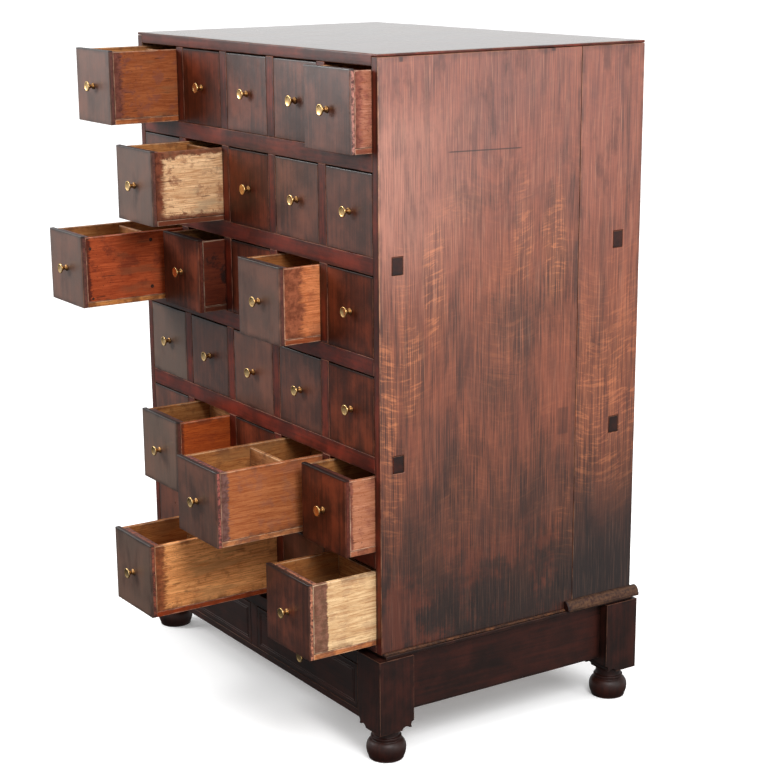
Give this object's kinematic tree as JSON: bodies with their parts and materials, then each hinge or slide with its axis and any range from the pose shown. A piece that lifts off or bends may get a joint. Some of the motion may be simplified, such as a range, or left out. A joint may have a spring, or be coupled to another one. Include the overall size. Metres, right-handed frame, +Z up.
{
  "type": "apothecary cabinet",
  "caption": "Free-standing wooden apothecary cabinet: a bank of small compartmented drawers with brass knobs over wide base drawers, on bun feet.",
  "frame": {"origin": "on the floor, at the middle in plan of the box that the whole cabinet fills with its drawers as stored (some stand open)", "axes": "+Z up, -Y towards the person who opens the drawers, +X to that person's right"},
  "size_m": [0.8642, 0.828, 1.2],
  "materials": {
    "carcase_wood": "dark red-brown polished mahogany, semi-gloss",
    "side_wood": "reddish-brown mahogany with vertical figure, semi-gloss",
    "base_wood": "near-black brown stained hardwood, semi-gloss",
    "back_wood": "unpolished brown softwood",
    "drawer_front_wood": "dark red-brown polished mahogany, semi-gloss",
    "drawer_box_wood": "bare tan softwood, matt and stained",
    "knob_brass": "worn polished brass"
  },
  "bodies": {
    "cabinet": {"top_board": "carcase_wood", "bottom_board": "carcase_wood", "left_side_front_board": "side_wood", "left_side_rear_board": "side_wood", "right_side_front_board": "side_wood", "right_side_rear_board": "side_wood", "back_boards": "back_wood", "shelf_1": "carcase_wood", "shelf_2": "carcase_wood", "shelf_3": "carcase_wood", "shelf_4": "carcase_wood", "shelf_5": "carcase_wood", "partitions_row_1": "carcase_wood", "partitions_row_2": "carcase_wood", "partitions_row_3": "carcase_wood", "partitions_row_4": "carcase_wood", "partitions_row_5": "carcase_wood", "partitions_row_6": "carcase_wood", "base_top_frame": "base_wood", "corner_posts": "base_wood", "front_rails": "base_wood", "centre_stile": "base_wood", "side_aprons": "base_wood", "back_apron": "back_wood", "runner_boards": "back_wood", "left_moulding": "base_wood", "right_moulding": "base_wood", "bun_feet": "base_wood"},
    "drawer_r1c1": {"drawer_r1c1": "drawer_box_wood"},
    "drawer_r1c2": {"drawer_r1c2": "drawer_box_wood"},
    "drawer_r1c3": {"drawer_r1c3": "drawer_box_wood"},
    "drawer_r1c4": {"drawer_r1c4": "drawer_box_wood"},
    "drawer_r1c5": {"drawer_r1c5": "drawer_box_wood"},
    "drawer_r2c1": {"drawer_r2c1": "drawer_box_wood"},
    "drawer_r2c2": {"drawer_r2c2": "drawer_box_wood"},
    "drawer_r2c3": {"drawer_r2c3": "drawer_box_wood"},
    "drawer_r2c4": {"drawer_r2c4": "drawer_box_wood"},
    "drawer_r2c5": {"drawer_r2c5": "drawer_box_wood"},
    "drawer_r3c1": {"drawer_r3c1": "drawer_box_wood"},
    "drawer_r3c2": {"drawer_r3c2": "drawer_box_wood"},
    "drawer_r3c3": {"drawer_r3c3": "drawer_box_wood"},
    "drawer_r3c4": {"drawer_r3c4": "drawer_box_wood"},
    "drawer_r3c5": {"drawer_r3c5": "drawer_box_wood"},
    "drawer_r4c1": {"drawer_r4c1": "drawer_box_wood"},
    "drawer_r4c2": {"drawer_r4c2": "drawer_box_wood"},
    "drawer_r4c3": {"drawer_r4c3": "drawer_box_wood"},
    "drawer_r4c4": {"drawer_r4c4": "drawer_box_wood"},
    "drawer_r4c5": {"drawer_r4c5": "drawer_box_wood"},
    "drawer_r5c1": {"drawer_r5c1": "drawer_box_wood"},
    "drawer_r5c2": {"drawer_r5c2": "drawer_box_wood"},
    "drawer_r5c3": {"drawer_r5c3": "drawer_box_wood"},
    "drawer_r5c4": {"drawer_r5c4": "drawer_box_wood"},
    "drawer_r5c5": {"drawer_r5c5": "drawer_box_wood"},
    "drawer_r6c1": {"drawer_r6c1": "drawer_box_wood"},
    "drawer_r6c2": {"drawer_r6c2": "drawer_box_wood"},
    "drawer_r6c3": {"drawer_r6c3": "drawer_box_wood"},
    "drawer_r6c4": {"drawer_r6c4": "drawer_box_wood"},
    "drawer_r6c5": {"drawer_r6c5": "drawer_box_wood"},
    "base_drawer_left": {"base_drawer_left": "drawer_box_wood"},
    "base_drawer_right": {"base_drawer_right": "drawer_box_wood"}
  },
  "joints": [
    {"name": "drawer_r1c1_slide", "type": "slide", "parent": "cabinet", "child": "drawer_r1c1", "axis": [0, -1, 0], "range_m": [-0.138, 0.262]},
    {"name": "drawer_r1c2_slide", "type": "slide", "parent": "cabinet", "child": "drawer_r1c2", "axis": [0, -1, 0], "range_m": [0, 0.4]},
    {"name": "drawer_r1c3_slide", "type": "slide", "parent": "cabinet", "child": "drawer_r1c3", "axis": [0, -1, 0], "range_m": [0, 0.4]},
    {"name": "drawer_r1c4_slide", "type": "slide", "parent": "cabinet", "child": "drawer_r1c4", "axis": [0, -1, 0], "range_m": [0, 0.4]},
    {"name": "drawer_r1c5_slide", "type": "slide", "parent": "cabinet", "child": "drawer_r1c5", "axis": [0, -1, 0], "range_m": [-0.04, 0.36]},
    {"name": "drawer_r2c1_slide", "type": "slide", "parent": "cabinet", "child": "drawer_r2c1", "axis": [0, -1, 0], "range_m": [0, 0.4]},
    {"name": "drawer_r2c2_slide", "type": "slide", "parent": "cabinet", "child": "drawer_r2c2", "axis": [0, -1, 0], "range_m": [-0.143, 0.257]},
    {"name": "drawer_r2c3_slide", "type": "slide", "parent": "cabinet", "child": "drawer_r2c3", "axis": [0, -1, 0], "range_m": [0, 0.4]},
    {"name": "drawer_r2c4_slide", "type": "slide", "parent": "cabinet", "child": "drawer_r2c4", "axis": [0, -1, 0], "range_m": [0, 0.4]},
    {"name": "drawer_r2c5_slide", "type": "slide", "parent": "cabinet", "child": "drawer_r2c5", "axis": [0, -1, 0], "range_m": [0, 0.4]},
    {"name": "drawer_r3c1_slide", "type": "slide", "parent": "cabinet", "child": "drawer_r3c1", "axis": [0, -1, 0], "range_m": [-0.21, 0.19]},
    {"name": "drawer_r3c2_slide", "type": "slide", "parent": "cabinet", "child": "drawer_r3c2", "axis": [0, -1, 0], "range_m": [-0.054, 0.346]},
    {"name": "drawer_r3c3_slide", "type": "slide", "parent": "cabinet", "child": "drawer_r3c3", "axis": [0, -1, 0], "range_m": [0, 0.4]},
    {"name": "drawer_r3c4_slide", "type": "slide", "parent": "cabinet", "child": "drawer_r3c4", "axis": [0, -1, 0], "range_m": [-0.079, 0.321]},
    {"name": "drawer_r3c5_slide", "type": "slide", "parent": "cabinet", "child": "drawer_r3c5", "axis": [0, -1, 0], "range_m": [0, 0.4]},
    {"name": "drawer_r4c1_slide", "type": "slide", "parent": "cabinet", "child": "drawer_r4c1", "axis": [0, -1, 0], "range_m": [0, 0.4]},
    {"name": "drawer_r4c2_slide", "type": "slide", "parent": "cabinet", "child": "drawer_r4c2", "axis": [0, -1, 0], "range_m": [0, 0.4]},
    {"name": "drawer_r4c3_slide", "type": "slide", "parent": "cabinet", "child": "drawer_r4c3", "axis": [0, -1, 0], "range_m": [0, 0.4]},
    {"name": "drawer_r4c4_slide", "type": "slide", "parent": "cabinet", "child": "drawer_r4c4", "axis": [0, -1, 0], "range_m": [0, 0.4]},
    {"name": "drawer_r4c5_slide", "type": "slide", "parent": "cabinet", "child": "drawer_r4c5", "axis": [0, -1, 0], "range_m": [0, 0.4]},
    {"name": "drawer_r5c1_slide", "type": "slide", "parent": "cabinet", "child": "drawer_r5c1", "axis": [0, -1, 0], "range_m": [0, 0.4]},
    {"name": "drawer_r5c2_slide", "type": "slide", "parent": "cabinet", "child": "drawer_r5c2", "axis": [0, -1, 0], "range_m": [-0.112, 0.288]},
    {"name": "drawer_r5c3_slide", "type": "slide", "parent": "cabinet", "child": "drawer_r5c3", "axis": [0, -1, 0], "range_m": [0, 0.4]},
    {"name": "drawer_r5c4_slide", "type": "slide", "parent": "cabinet", "child": "drawer_r5c4", "axis": [0, -1, 0], "range_m": [-0.21, 0.19]},
    {"name": "drawer_r5c5_slide", "type": "slide", "parent": "cabinet", "child": "drawer_r5c5", "axis": [0, -1, 0], "range_m": [-0.058, 0.342]},
    {"name": "drawer_r6c1_slide", "type": "slide", "parent": "cabinet", "child": "drawer_r6c1", "axis": [0, -1, 0], "range_m": [0, 0.4]},
    {"name": "drawer_r6c2_slide", "type": "slide", "parent": "cabinet", "child": "drawer_r6c2", "axis": [0, -1, 0], "range_m": [0, 0.4]},
    {"name": "drawer_r6c3_slide", "type": "slide", "parent": "cabinet", "child": "drawer_r6c3", "axis": [0, -1, 0], "range_m": [-0.256, 0.144]},
    {"name": "drawer_r6c4_slide", "type": "slide", "parent": "cabinet", "child": "drawer_r6c4", "axis": [0, -1, 0], "range_m": [0, 0.4]},
    {"name": "drawer_r6c5_slide", "type": "slide", "parent": "cabinet", "child": "drawer_r6c5", "axis": [0, -1, 0], "range_m": [-0.132, 0.268]},
    {"name": "base_drawer_left_slide", "type": "slide", "parent": "cabinet", "child": "base_drawer_left", "axis": [0, -1, 0], "range_m": [0, 0.4]},
    {"name": "base_drawer_right_slide", "type": "slide", "parent": "cabinet", "child": "base_drawer_right", "axis": [0, -1, 0], "range_m": [0, 0.4]}
  ]
}
